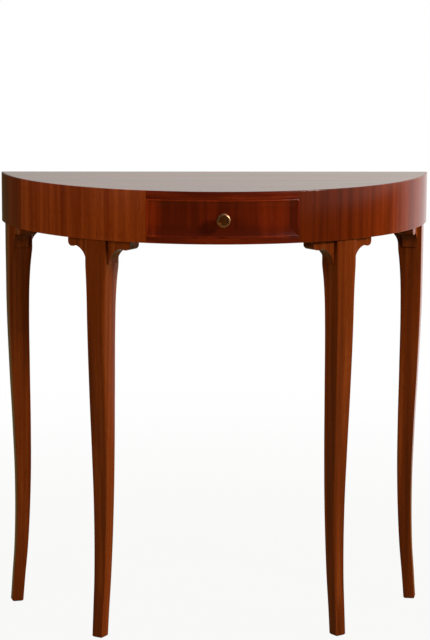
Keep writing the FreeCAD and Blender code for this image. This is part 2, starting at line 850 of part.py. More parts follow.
def make_knob():
    """Turned knob with a raised rim round a dished face, a rose behind it and its screw from inside."""
    bore = "knob_screw_diameter / 2"
    screw = new_body("knob_screw_turned")
    head = "knob_screw_head_diameter / 2"
    seat = on_arc("front_inner", head)
    tip = "drawer_front_thickness + rose_thickness + knob_screw_grip"
    top = "-knob_screw_head_depth"
    points = [("0", top), (head + " - knob_screw_bevel", top), (head, top + " + knob_screw_bevel"),
              (head, "0"), (bore, "0"), (bore, tip), ("0", tip)]
    revolve(screw, outline(screw, "XZ", points))
    node("knob_screw", place(screw, y=seat, z="knob_height", roll=90))

    rose = new_body("knob_rose_turned")
    rim = "rose_diameter / 2"
    points = [(bore, "0"), (rim, "0"), (rim, "rose_thickness - rose_bevel"),
              (rim + " - rose_bevel", "rose_thickness"), (bore, "rose_thickness")]
    revolve(rose, outline(rose, "XZ", points))
    node("knob_rose", place(rose, y="-field_radius", z="knob_height", roll=90))

    knob = new_body("knob_turned")
    base = "knob_base_diameter / 2"
    neck = "knob_neck_diameter / 2"
    rim = "knob_diameter / 2"
    dish = "knob_dish_diameter / 2"
    dome = "(%s - knob_dish_bevel)" % dish
    dome_rise = "(knob_dish_depth / 2)"
    front = "knob_projection"
    head = "knob_projection - knob_head_depth"
    ease = "knob_edge_radius"
    flare = "rose_thickness + knob_base_edge"
    grip_end = "rose_thickness + knob_screw_grip"
    points = [(bore, "rose_thickness"), (base, "rose_thickness"), (base, flare),
              (neck, flare + " + knob_flare"), (neck, head + " - knob_shoulder"),
              ("%s - %s" % (rim, ease), head), (rim, "%s + %s" % (head, ease)),
              (rim, "%s - %s" % (front, ease)), ("%s - %s" % (rim, ease), front), (dish, front),
              (dome, front + " - knob_dish_depth"), ("0", "%s - %s" % (front, dome_rise)), ("0", grip_end),
              (bore, grip_end)]
    flare_run = "(%s - %s)" % (base, neck)
    arcs = {2: ("(%s ^ 2 + knob_flare ^ 2) / (2 * %s)" % (flare_run, flare_run), CW),
            5: (ease, CCW), 7: (ease, CCW),
            10: ("(%s ^ 2 + %s ^ 2) / (2 * %s)" % (dome, dome_rise, dome_rise), CCW)}
    revolve(knob, outline(knob, "XZ", points, arcs))
    node("drawer_knob", place(knob, y="-field_radius", z="knob_height", roll=90))


# What carries the drawer

def make_carriers():
    """Runner, guide and kicker at each side, from the apron back to the back rail, and the stops."""
    start = "-inner_radius"
    length = "rail_front + inner_radius"
    stops = []
    for name, side in SIDES.items():
        def strip(label, near, width, bottom, height, *fasteners):
            left = near if side > 0 else "-(%s + %s)" % (near, width)
            blank = board(label + "_blank", left, start, bottom, width, length, height)
            node(label, cut(inside(blank, "inner_radius"), *[nodes[n] for n in fasteners]))

        strip("runner_" + name, "carrier_side - runner_width", "runner_width", "runner_top - runner_height",
              "runner_height", "runner_screws", "runner_dowels", "guide_screws")
        strip("guide_" + name, "guide_side", "guide_width", "runner_top", "guide_height", "guide_screws")
        strip("kicker_" + name, "kicker_side - kicker_width / 2", "kicker_width", "kicker_bottom",
              "top_under - kicker_bottom", "top_screws")
        left = "side_inner + drawer_side_thickness - stop_width" if side > 0 else "-front_side"
        stops.append(board("stop_" + name, left, "rail_front - stop_depth", "runner_top",
                           "stop_width", "stop_depth", "stop_height"))
    node("drawer_stops", group("drawer_stops", stops))


def make_glue_blocks():
    master = new_body("glue_block")
    half = "block_length / 2"
    seat = on_arc("inner_radius", half)
    inner = "block_size - inner_radius"
    points = [("-" + half, seat), (half, seat), (half, inner), ("-" + half, inner)]
    plan = outline(master, "XY", points, {0: ("inner_radius", CCW)}, "top_under - block_size")
    pad(master, plan, "block_size")
    bottom = value("top_under - block_size")
    back = value(inner)
    dress(master, "Chamfer", lambda box: abs(box.ZMax - bottom) < 1e-6 and abs(box.YMin - back) < 1e-6,
          Size="block_chamfer")
    step = "(rear_leg_angle - front_leg_angle) / %d" % (BLOCKS + 1)
    places = [dict(yaw="%d * (front_leg_angle + %d * %s)" % (side, number + 1, step))
              for side in SIDES.values() for number in range(BLOCKS)]
    copies("glue_blocks", master, places)


# Building and writing

def check_document():
    """Stop at any object that failed, before anything is written."""
    doc.recompute()
    for item in doc.Objects:
        if "Invalid" in item.State or "Error" in item.State:
            raise RuntimeError("%s failed: %s" % (item.Label, item.State))
    for label, item in nodes.items():
        if item.Label != label:
            raise RuntimeError("%s was renamed to %s" % (label, item.Label))
        if item.Shape.isNull() or not item.Shape.isValid() or not item.Shape.Solids:
            raise RuntimeError("%s has no valid solid" % label)


def write_parts():
    os.makedirs("parts", exist_ok=True)
    whole = FreeCAD.BoundBox()
    for label, item in nodes.items():
        item.Shape.exportStep("parts/%s.step" % label)
        whole.add(item.Shape.optimalBoundingBox(False, False))
    print("%d nodes, box %.2f x %.2f x %.2f mm" % (len(nodes), whole.XLength, whole.YLength, whole.ZLength))
    print("box centre %.3f, %.3f, floor at %.3f" % (whole.Center.x, whole.Center.y, whole.ZMin))


sheet = make_sheet()
derived = make_derived()
make_leg_screws()
make_top_screws()
make_guide_screws()
make_runner_screws()
make_bottom_screws()
make_bracket_dowels()
make_rail_dowels()
make_runner_dowels()
make_back_rail_dowels()
make_top()
make_top_edge_band()
for hand, direction in SIDES.items():
    make_apron(hand, direction)
make_front_rail("upper_drawer_rail", "opening_top", "upper_rail_height")
make_front_rail("lower_drawer_rail", "apron_bottom", "lower_rail_height",
                nodes["rail_dowels"], nodes["runner_dowels"])
make_back_rail()
for leg_corner, leg_turn in leg_angles().items():
    make_leg(leg_corner, leg_turn)
make_brackets()
make_knob()
make_drawer_box()
make_mouldings()
make_carriers()
make_glue_blocks()
check_document()
write_parts()
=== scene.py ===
import math

import bmesh
import bpy
from mathutils import Matrix, Vector


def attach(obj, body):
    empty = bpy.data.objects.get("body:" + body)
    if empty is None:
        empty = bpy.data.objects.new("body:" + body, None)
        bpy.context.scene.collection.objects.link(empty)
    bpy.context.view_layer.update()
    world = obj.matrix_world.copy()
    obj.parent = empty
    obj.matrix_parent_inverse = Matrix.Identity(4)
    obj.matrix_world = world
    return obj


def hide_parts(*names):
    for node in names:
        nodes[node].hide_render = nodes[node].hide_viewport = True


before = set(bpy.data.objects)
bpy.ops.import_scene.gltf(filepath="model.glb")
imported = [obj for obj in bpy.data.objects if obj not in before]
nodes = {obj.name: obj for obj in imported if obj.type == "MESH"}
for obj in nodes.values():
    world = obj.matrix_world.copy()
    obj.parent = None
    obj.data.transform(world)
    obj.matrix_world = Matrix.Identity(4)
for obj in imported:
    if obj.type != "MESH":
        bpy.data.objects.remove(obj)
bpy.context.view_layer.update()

MM = 0.001

# Sizes of the table in millimetres, as its source has them
WIDTH = 800
DEPTH = 350
HEIGHT = 820
APRON_BOTTOM = 728
TOP_UNDER = 810
VENEER = 2
CORE = 19
TOP_JOINT = 0.3
OPENING_SIDE = 133.5
OPENING_BOTTOM = 738
OPENING_TOP = 805.8
FIELD_SINK = 2.5
LEG_SET_BACK = 5
LEG_TURNS = {"front_left": -34, "front_right": 34, "rear_left": -77.45, "rear_right": 77.45}
HEAD_WIDTH = 44
HEAD_HEIGHT = 48
POST_WIDTH = 38
LEG_ARRIS = 1.5
FOOT_CHAMFER = 2
# Share of the shaft's height, how far the outer face sits in from the head's, and width of the square
LEG_STATIONS = ((0, 1.5, 21), (0.064, 4.7, 21.5), (0.19, 10.5, 23.4),
                (0.34, 12, 26.5), (0.49, 9.2, 30.2), (0.67, 4, 34.2),
                (0.85, 0.3, 37.4), (0.915, 0.1, 38.8), (1, 0, HEAD_WIDTH))
BRACKET_LENGTH = 44.5
BRACKET_DEPTH = 44
BRACKET_SET_BACK = 6.5
BRACKET_THICKNESS = 28
BRACKET_STEP = 2.5
NOSE = 8.5
LOBE_RUN = 10
LOBE_RISE = 2
BACK_RAIL_INSET = 2
BACK_RAIL_THICKNESS = 18
MOULDING_WIDTH = 14
BEAD_WIDTH = 4
MOULDING_EDGE = 0.5
KNOB_PROJECTION = 22
KNOB_RADIUS = 12.5
KNOB_NECK = 4.5
KNOB_BASE = 7.5
KNOB_BASE_EDGE = 1.5
KNOB_FLARE = 3.5
KNOB_SHOULDER = 3
KNOB_HEAD_DEPTH = 8
KNOB_DISH_DEPTH = 1.6
KNOB_DISH_BEVEL = 1
ROSE_RADIUS = 9.5
ROSE_THICKNESS = 2
ROSE_BEVEL = 1

# Sizes drawn a little unlike the source's, also in millimetres. Tighter joints and a lower, flatter
# moulding keep dark bands off the drawer. The top's edge and the knob's rim are rounder, as rubbing
# leaves them. A leg's arris grows with the leg's width, and is the source's at the middle width.
DRAWER_GAP = 0.2
MOULDING_INSET = 0.1
BEAD_HEIGHT = 2.9
COVE_HEIGHT = 1.6
COVE_RADIUS = 50
KNOB_EDGE = 3.4
KNOB_DISH = 8
TOP_EASE = 1.8
LEG_MIDDLE_WIDTH = 28

# Sizes that follow; plan sizes are taken from the axis of the round front, behind the back edge
RADIUS = (WIDTH ** 2 / 4 + DEPTH ** 2) / (2 * DEPTH)
BACK = RADIUS - DEPTH
AXIS_Y = (DEPTH + KNOB_PROJECTION - FIELD_SINK) / 2 + BACK
CORE_RADIUS = RADIUS - VENEER
INNER_RADIUS = CORE_RADIUS - CORE
TOP_RADIUS = CORE_RADIUS - TOP_JOINT
FIELD_RADIUS = RADIUS - FIELD_SINK
FRONT_SIDE = OPENING_SIDE - DRAWER_GAP
FRONT_BOTTOM = OPENING_BOTTOM + DRAWER_GAP
FRONT_TOP = OPENING_TOP - DRAWER_GAP
MOULDING_BOTTOM = FRONT_BOTTOM + MOULDING_INSET
MOULDING_TOP = FRONT_TOP - MOULDING_INSET
MOULDING_TURN = math.asin((FRONT_SIDE - MOULDING_INSET) / FIELD_RADIUS)
LEG_OUTER = RADIUS - LEG_SET_BACK
LEG_INNER = LEG_OUTER - HEAD_WIDTH
HEAD_BOTTOM = APRON_BOTTOM - HEAD_HEIGHT
BRACKET_OUTER = LEG_OUTER - BRACKET_SET_BACK
BRACKET_INNER = BRACKET_OUTER - BRACKET_THICKNESS
KNOB_HEIGHT = (OPENING_BOTTOM + OPENING_TOP) / 2

# Angle past which an edge is drawn sharp, and softened by a bevel
CREASE = math.radians(35)

# Points that lie closer than this, in millimetres, are one
WELD = 0.001

# How many steps draw a round stretch, and rings a leg
TOP_STEPS = 192
APRON_STEPS = 120
OPENING_STEPS = 96
KNOB_STEPS = 96
LEG_RINGS = 130


# Meshes

def mesh_piece(name, points, faces):
    """Closed mesh, facing outwards, from points in millimetres about the round front's axis."""
    mesh = bpy.data.meshes.new(name)
    mesh.from_pydata([(x * MM, (y + AXIS_Y) * MM, z * MM) for x, y, z in points], [], faces)
    shell = bmesh.new()
    shell.from_mesh(mesh)
    bmesh.ops.remove_doubles(shell, verts=shell.verts, dist=WELD * MM)
    bmesh.ops.recalc_face_normals(shell, faces=shell.faces)
    shell.to_mesh(mesh)
    shell.free()
    return show(name, mesh)


def show(name, mesh):
    """Put a mesh in the scene, smooth but for its sharp edges."""
    mesh.shade_smooth()
    mesh.set_sharp_from_angle(angle=CREASE)
    piece = bpy.data.objects.new(name, mesh)
    bpy.context.scene.collection.objects.link(piece)
    return piece


def skin(name, rings):
    """Mesh over a row of outlines with like points, capped at both ends."""
    count = len(rings[0])
    points = [point for ring in rings for point in ring]
    faces = []
    for row in range(len(rings) - 1):
        for k in range(count):
            near, far = row * count, (row + 1) * count
            faces.append((near + k, near + (k + 1) % count, far + (k + 1) % count, far + k))
    faces.append(range(count))
    faces.append(range(len(points) - count, len(points)))
    return mesh_piece(name, points, faces)


def arc_points(centre, radius, start, end, steps):
    """Points of an arc in a section, angles in degrees."""
    angles = [math.radians(start + (end - start) * k / steps) for k in range(steps + 1)]
    return [(centre[0] + radius * math.cos(a), centre[1] + radius * math.sin(a)) for a in angles]


def turned_about_axis(x, y, turn):
    """Plan point carried round the axis by a turn to the right."""
    return x * math.cos(turn) - y * math.sin(turn), x * math.sin(turn) + y * math.cos(turn)


def at_side(x):
    """End of a bowed board on a plane that runs front to back, as the turn for each radius."""
    return lambda radius: math.asin(x / radius)


def at_back(side):
    """End of a bowed board on the table's back plane."""
    return lambda radius: side * math.acos(BACK / radius)


def bowed_board(name, section, left, right, steps):
    """Board bent round the axis; its section is (radius, height) points."""
    rings = []
    for k in range(steps + 1):
        ring = []
        for radius, z in section:
            turn = left(radius) + (right(radius) - left(radius)) * k / steps
            ring.append((radius * math.sin(turn), -radius * math.cos(turn), z))
        rings.append(ring)
    return skin(name, rings)


def oblong(inner, outer, bottom, top):
    """Square-edged section of a bowed board, between two radii and two heights."""
    return [(inner, bottom), (outer, bottom), (outer, top), (inner, top)]


def edged_section(bottom):
    """Veneer on edge, its upper outer arris rounded by the hand that rubbed it down."""
    rounding = arc_points((RADIUS - TOP_EASE, HEIGHT - TOP_EASE), TOP_EASE, 0, 90, steps=4)
    return [(CORE_RADIUS, bottom), (RADIUS, bottom)] + rounding + [(CORE_RADIUS, HEIGHT)]


def half_round_top(name):
    """Board between the top's faces, from the back edge to the round front."""
    corner = math.sqrt(TOP_RADIUS ** 2 - BACK ** 2)
    limit = math.asin(corner / TOP_RADIUS)
    rings = []
    for k in range(TOP_STEPS + 1):
        turn = limit * (2 * k / TOP_STEPS - 1)
        x = TOP_RADIUS * math.sin(turn)
        front = min(-TOP_RADIUS * math.cos(turn), -BACK)
        rings.append([(x, front, TOP_UNDER), (x, front, HEIGHT), (x, -BACK, HEIGHT), (x, -BACK, TOP_UNDER)])
    return skin(name, rings)


def bracket_outline():
    """Distance from the leg and depth below the apron, along the bracket's lower edge."""
    lobe = BRACKET_LENGTH - NOSE
    cusp = (lobe - LOBE_RUN, 2 * NOSE - LOBE_RISE)
    lobe_radius = (LOBE_RUN ** 2 + LOBE_RISE ** 2) / (2 * LOBE_RISE)
    run, drop = cusp[0] - BRACKET_STEP, BRACKET_DEPTH - cusp[1]
    hollow = (run ** 2 + drop ** 2) / (2 * run)
    middle = (BRACKET_STEP + hollow, BRACKET_DEPTH)
    rise = math.degrees(math.asin(drop / hollow))
    lobe_sweep = math.degrees(math.asin(LOBE_RUN / lobe_radius))
    edge = [(0, BRACKET_DEPTH)]
    edge += arc_points(middle, hollow, 180, 180 + rise, steps=20)
    edge += arc_points((lobe, 2 * NOSE - lobe_radius), lobe_radius, 90 + lobe_sweep, 90, steps=6)[1:]
    edge += arc_points((lobe, NOSE), NOSE, 90, 0, steps=8)[1:]
    return edge


def bracket(name, turn, side):
    """Bracket that follows the curve of the apron from the side of a leg's head."""
    rings = []
    for along, depth in bracket_outline():
        x = side * (HEAD_WIDTH / 2 + along)
        faces = [turned_about_axis(x, -math.sqrt(radius ** 2 - x ** 2), turn)
                 for radius in (BRACKET_OUTER, BRACKET_INNER)]
        rings.append(bracket_ring(faces, depth))
    return skin(name, rings)


def back_bracket(name, side):
    """Straight bracket under the back rail, its end cut to the slant of the rear leg."""
    turn = math.radians(LEG_TURNS["rear_right"])
    planes = [-(BACK + BACK_RAIL_INSET), -(BACK + BACK_RAIL_INSET + BACK_RAIL_THICKNESS)]
    ends = [(LEG_INNER + y * math.cos(turn)) / math.sin(turn) for y in planes]
    rings = []
    for along, depth in bracket_outline():
        share = 1 - along / BRACKET_LENGTH
        faces = [(side * (ends[1] - along + (end - ends[1]) * share), y) for end, y in zip(ends, planes)]
        rings.append(bracket_ring(faces, depth))
    return skin(name, rings)


def bracket_ring(faces, depth):
    """Upright slice of a bracket between the plan points of its outer and inner faces."""
    (outer_x, outer_y), (inner_x, inner_y) = faces
    low = APRON_BOTTOM - depth
    return [(outer_x, outer_y, APRON_BOTTOM), (outer_x, outer_y, low),
            (inner_x, inner_y, low), (inner_x, inner_y, APRON_BOTTOM)]


def moulding_section():
    """Bead, flush with the rail at its outer side, and shallow cove.

    The points are (distance in from the edge, height above the field).
    """
    half = BEAD_WIDTH / 2
    crown = BEAD_HEIGHT - half
    flush = 180 - math.degrees(math.asin((FIELD_SINK - crown) / half))
    spring = math.degrees(math.asin((COVE_HEIGHT - crown) / half))
    bead = [(0, FIELD_SINK)] + arc_points((half, crown), half, flush, spring, steps=12)
    start, end = Vector(bead[-1]), Vector((MOULDING_WIDTH, MOULDING_EDGE))
    chord = end - start
    lift = math.sqrt(COVE_RADIUS ** 2 - chord.length_squared / 4)
    middle = (start + end) / 2 + Vector((-chord.y, chord.x)).normalized() * lift
    first, last = (math.degrees(math.atan2(p.y - middle.y, p.x - middle.x)) for p in (start, end))
    cove = arc_points(middle, COVE_RADIUS, first, last, steps=10)[1:]
    return [(0, 0)] + bead + cove + [(MOULDING_WIDTH, 0)]


def level_moulding(name, edge, way):
    """Strip along the drawer front's upper or lower edge, mitred at both ends."""
    section = moulding_section()
    rings = []
    for k in range(OPENING_STEPS + 1):
        ring = []
        for inward, proud in section:
            radius = FIELD_RADIUS + proud
            turn = (MOULDING_TURN - math.asin(inward / radius)) * (2 * k / OPENING_STEPS - 1)
            ring.append((radius * math.sin(turn), -radius * math.cos(turn), edge - way * inward))
        rings.append(ring)
    return skin(name, rings)


def upright_moulding(name, side):
    """Strip up an end of the drawer front, mitred at both ends."""
    rings = []
    for height, way in ((MOULDING_BOTTOM, 1), (MOULDING_TOP, -1)):
        ring = []
        for inward, proud in moulding_section():
            x, y = turned_about_axis(-side * inward, -(FIELD_RADIUS + proud), side * MOULDING_TURN)
            ring.append((x, y, height + way * inward))
        rings.append(ring)
    return skin(name, rings)


def turned_brass(name, profile):
    """Piece turned about the knob's axis; the profile is (radius, distance out from the field)."""
    points, faces, count = [], [], len(profile)
    for k in range(KNOB_STEPS):
        angle = 2 * math.pi * k / KNOB_STEPS
        points += [(radius * math.cos(angle), -FIELD_RADIUS - out, KNOB_HEIGHT + radius * math.sin(angle))
                   for radius, out in profile]
        near, far = k * count, (k + 1) % KNOB_STEPS * count
        faces += [(near + i, near + i + 1, far + i + 1, far + i) for i in range(count - 1)]
    return mesh_piece(name, points, faces)


def knob_profile():
    """Waisted stem, flat round head with eased edges, and a shallow dish with a low dome in it."""
    foot = ROSE_THICKNESS + KNOB_BASE_EDGE
    under = KNOB_PROJECTION - KNOB_HEAD_DEPTH
    run = KNOB_BASE - KNOB_NECK
    hollow = (run ** 2 + KNOB_FLARE ** 2) / (2 * run)
    reach = math.degrees(math.asin(KNOB_FLARE / hollow))
    flare = arc_points((KNOB_NECK + hollow, foot + KNOB_FLARE), hollow, 180 + reach, 180, steps=8)
    side = KNOB_RADIUS - KNOB_EDGE
    back = arc_points((side, under + KNOB_EDGE), KNOB_EDGE, -90, 0, steps=6)
    front = arc_points((side, KNOB_PROJECTION - KNOB_EDGE), KNOB_EDGE, 0, 90, steps=6)
    brim, rise = KNOB_DISH - KNOB_DISH_BEVEL, KNOB_DISH_DEPTH / 2
    dome = (brim ** 2 + rise ** 2) / (2 * rise)
    spread = math.degrees(math.asin(brim / dome))
    crown = arc_points((0, KNOB_PROJECTION - rise - dome), dome, 90 - spread, 90, steps=10)
    base = [(0, ROSE_THICKNESS), (KNOB_BASE, ROSE_THICKNESS), (KNOB_BASE, foot)]
    neck = [(KNOB_NECK, under - KNOB_SHOULDER)]
    rim = [(KNOB_DISH, KNOB_PROJECTION)]
    return base + flare + neck + back + front + rim + crown


def rose_profile():
    """Flat disc with its outer edge rounded over."""
    edge = arc_points((ROSE_RADIUS - ROSE_BEVEL, ROSE_THICKNESS - ROSE_BEVEL), ROSE_BEVEL, 0, 90, steps=6)
    return [(0, 0), (ROSE_RADIUS, 0)] + edge + [(0, ROSE_THICKNESS)]


def soften(piece, width):
    """Round the sharp edges over, by a width in millimetres.

    Joints then show as fine lines, and arrises catch light.
    """
    edge = piece.modifiers.new("soft_edge", "BEVEL")
    edge.width = width * MM
    edge.segments = 2
    edge.limit_method = "ANGLE"
    edge.angle_limit = CREASE
    edge.harden_normals = True


# Nodes

def add(tree, kind, inputs=None, **settings):
    """Add a node: settings are its options, inputs give a socket its value or the socket that feeds it."""
    made = tree.nodes.new(kind)
    for option, choice in settings.items():
        setattr(made, option, choice)
    for socket, source in (inputs or {}).items():
        if isinstance(source, bpy.types.NodeSocket):
            tree.links.new(source, made.inputs[socket])
        else:
            made.inputs[socket].default_value = source
    return made.outputs


# Sabre legs: one square section swept up a curved line, by rule, and turned to each corner

def sabre_leg_tree():
    """Node tree that shapes a leg with its foot's chamfer, its head and the post inside the apron."""
    tree = bpy.data.node_groups.new("sabre_leg", "GeometryNodeTree")
    sizes = {"Height": APRON_BOTTOM, "Shaft height": HEAD_BOTTOM, "Foot chamfer": FOOT_CHAMFER,
             "Outer face": LEG_OUTER, "Head back": LEG_INNER, "Apron back": INNER_RADIUS,
             "Post width": POST_WIDTH, "Post height": TOP_UNDER - APRON_BOTTOM}
    for name, size in sizes.items():
        socket = tree.interface.new_socket(name, in_out="INPUT", socket_type="NodeSocketFloat")
        socket.default_value = size * MM
    tree.interface.new_socket("Turn", in_out="INPUT", socket_type="NodeSocketFloat")
    tree.interface.new_socket("Finish", in_out="INPUT", socket_type="NodeSocketMaterial")
    tree.interface.new_socket("Leg", in_out="OUTPUT", socket_type="NodeSocketGeometry")
    given = add(tree, "NodeGroupInput")

    # Upright line with a ring at each of its points, the second one at the top of the foot's chamfer
    top = add(tree, "ShaderNodeCombineXYZ", {"Z": given["Height"]})
    line = add(tree, "GeometryNodeCurvePrimitiveLine", {"End": top[0]})
    line = add(tree, "GeometryNodeResampleCurve", {"Curve": line[0], "Count": LEG_RINGS})
    order = add(tree, "GeometryNodeInputIndex")[0]
    second = add(tree, "FunctionNodeCompare", {2: order, 3: 1}, data_type="INT", operation="EQUAL")[0]
    foot = add(tree, "ShaderNodeCombineXYZ", {"Z": given["Foot chamfer"]})
    line = add(tree, "GeometryNodeSetPosition",
               {"Geometry": line[0], "Selection": second, "Position": foot[0]})
    height = add(tree, "ShaderNodeSeparateXYZ", {0: add(tree, "GeometryNodeInputPosition")[0]})["Z"]
    share = add(tree, "ShaderNodeMath", {0: height, 1: given["Shaft height"]}, operation="DIVIDE")[0]

    # How far in the outer face sits and how wide the square is, by the stations. A new curve comes with two
    # points, which the first two stations take.
    widest = max(width for _, _, width in LEG_STATIONS)
    shapes = []
    for column in (1, 2):
        shape = add(tree, "ShaderNodeFloatCurve", {"Value": share})[0]
        curve = shape.node.mapping.curves[0]
        for row, station in enumerate(LEG_STATIONS):
            place = station[0], station[column] / widest
            if row < 2:
                curve.points[row].location = place
            else:
                curve.points.new(*place)
        shape.node.mapping.update()
        shapes.append(add(tree, "ShaderNodeMath", {0: shape, 1: widest * MM}, operation="MULTIPLY")[0])
    inset, width = shapes
    half = add(tree, "ShaderNodeMath", {0: width, 1: 0.5}, operation="MULTIPLY")[0]
    middle = add(tree, "ShaderNodeMath", {0: inset, 1: half}, operation="ADD")[0]
    middle = add(tree, "ShaderNodeMath", {0: middle, 1: given["Outer face"]}, operation="SUBTRACT")[0]

    # Square section, narrowed over the foot's chamfer, swept up the line and carried out to the leg's curve
    narrowed = add(tree, "ShaderNodeMath", {0: given["Foot chamfer"], 1: -2}, operation="MULTIPLY")[0]
    chamfer = add(tree, "ShaderNodeMapRange", {
        "Value": height, "From Max": given["Foot chamfer"], "To Min": narrowed, "To Max": 0})[0]
    eased = add(tree, "ShaderNodeMath", {0: width, 1: chamfer}, operation="ADD")[0]
    line = add(tree, "GeometryNodeSetCurveNormal", {"Curve": line[0], "Normal": (1, 0, 0)}, mode="FREE")
    square = add(tree, "GeometryNodeCurvePrimitiveQuadrilateral",
                 {"Width": 1, "Height": 1}, mode="RECTANGLE")
    square = add(tree, "GeometryNodeFilletCurve",
                 {"Curve": square[0], "Count": 5, "Radius": LEG_ARRIS / LEG_MIDDLE_WIDTH}, mode="POLY")
    shaft = add(tree, "GeometryNodeCurveToMesh",
                {"Curve": line[0], "Profile Curve": square[0], "Scale": eased, "Fill Caps": True})
    bend = add(tree, "ShaderNodeCombineXYZ", {"Y": middle})[0]
    shaft = add(tree, "GeometryNodeSetPosition", {"Geometry": shaft[0], "Offset": bend})

    # Post that goes up behind the apron, then the turn to the leg's corner
    deep = add(tree, "ShaderNodeMath",
               {0: given["Apron back"], 1: given["Head back"]}, operation="SUBTRACT")[0]
    size = add(tree, "ShaderNodeCombineXYZ",
               {"X": given["Post width"], "Y": deep, "Z": given["Post height"]})[0]
    post = add(tree, "GeometryNodeMeshCube", {"Size": size})
    rise = add(tree, "ShaderNodeMath",
               {0: given["Post height"], 1: 0.5, 2: given["Height"]}, operation="MULTIPLY_ADD")[0]
    out = add(tree, "ShaderNodeMath", {0: deep, 1: 0.5, 2: given["Head back"]}, operation="MULTIPLY_ADD")[0]
    front = add(tree, "ShaderNodeMath", {0: out, 1: -1}, operation="MULTIPLY")[0]
    seat = add(tree, "ShaderNodeCombineXYZ", {"Y": front, "Z": rise})[0]
    post = add(tree, "GeometryNodeTransform", {"Geometry": post[0], "Translation": seat})
    leg = add(tree, "GeometryNodeJoinGeometry", {0: shaft[0]})[0]
    tree.links.new(post[0], leg.node.inputs[0])
    turn = add(tree, "ShaderNodeCombineXYZ", {"Z": given["Turn"]})[0]
    leg = add(tree, "GeometryNodeTransform",
              {"Geometry": leg, "Rotation": turn, "Translation": (0, AXIS_Y * MM, 0)})
    leg = add(tree, "GeometryNodeRealizeInstances", {"Geometry": leg[0]})
    leg = add(tree, "GeometryNodeSetMaterial", {"Geometry": leg[0], "Material": given["Finish"]})
    add(tree, "NodeGroupOutput", {"Leg": leg[0]})
    return tree


def sabre_leg(name, tree, turn, finish):
    """Leg shaped by the tree and kept as a plain mesh."""
    maker = bpy.data.objects.new(name + "_maker", bpy.data.meshes.new(name + "_maker"))
    bpy.context.scene.collection.objects.link(maker)
    shaping = maker.modifiers.new("sabre", "NODES")
    shaping.node_group = tree
    identifiers = {item.name: item.identifier for item in tree.interface.items_tree}
    shaping[identifiers["Turn"]] = math.radians(turn)
    shaping[identifiers["Finish"]] = finish
    shaped = maker.evaluated_get(bpy.context.evaluated_depsgraph_get())
    mesh = bpy.data.meshes.new_from_object(shaped)
    bpy.data.objects.remove(maker)
    return show(name, mesh)


# Finishes

def linear(code):
    """Linear colour of an sRGB hex value."""
    parts = [int(code[k:k + 2], 16) / 255 for k in (1, 3, 5)]
    return [c / 12.92 if c <= 0.04045 else ((c + 0.055) / 1.055) ** 2.4 for c in parts] + [1]


def bowed_place(tree, place):
    """Place on the bowed front as (arc length, 0, height)."""
    place = add(tree, "ShaderNodeVectorMath", {0: place, 1: (0, AXIS_Y * MM, 0)}, operation="SUBTRACT")[0]
    split = add(tree, "ShaderNodeSeparateXYZ", {0: place})
    ahead = add(tree, "ShaderNodeMath", {0: split["Y"], 1: -1}, operation="MULTIPLY")[0]
    turn = add(tree, "ShaderNodeMath", {0: split["X"], 1: ahead}, operation="ARCTAN2")[0]
    arc = add(tree, "ShaderNodeMath", {0: turn, 1: RADIUS * MM}, operation="MULTIPLY")[0]
    return add(tree, "ShaderNodeCombineXYZ", {"X": arc, "Z": split["Z"]})[0]


# Wood: tones at which it is deepest, middling and palest, and the share of each part of the grain in them
DEEP_TONE, BODY_TONE, PALE_TONE = 0.36, 0.5, 0.64
RIBBON_SHARE, STREAK_SHARE, FIBRE_SHARE = 0.62, 0.25, 0.13
# Levels of their noise at which pores begin and are full, and how much of the deep colour they show
PORE_START, PORE_FULL, PORE_SHARE = 0.6, 0.72, 0.4
# Levels of the streaks at which the polish is glossiest and dullest
GLOSSY_STREAK, DULL_STREAK = 0.3, 0.7
# Depth in millimetres of the fibres at a relief of one
FIBRE_DEPTH = 0.2
# Edge that hands and cloths rub: its width in millimetres, the cosines of the turn of the face at which
# wear begins and is full, and how much paler and duller a worn edge is
WORN_EDGE = 1.2
WEAR_START, WEAR_FULL = 0.98, 0.8
WORN_SHARE = 0.3

# Metal: levels of its clouds at which tarnish begins and is full, and at which it is glossiest and dullest
TARNISH_START, TARNISH_FULL = 0.4, 0.65
GLOSSY_CLOUD, DULL_CLOUD = 0.35, 0.7
# Strength of the tool's marks, and their depth in millimetres
MARK_STRENGTH = 0.08
MARK_DEPTH = 0.1
# Width in millimetres over which the darkening of a hollow, partly patina and partly painted dark
# reflection, fades
HOLLOW_FADE = 2


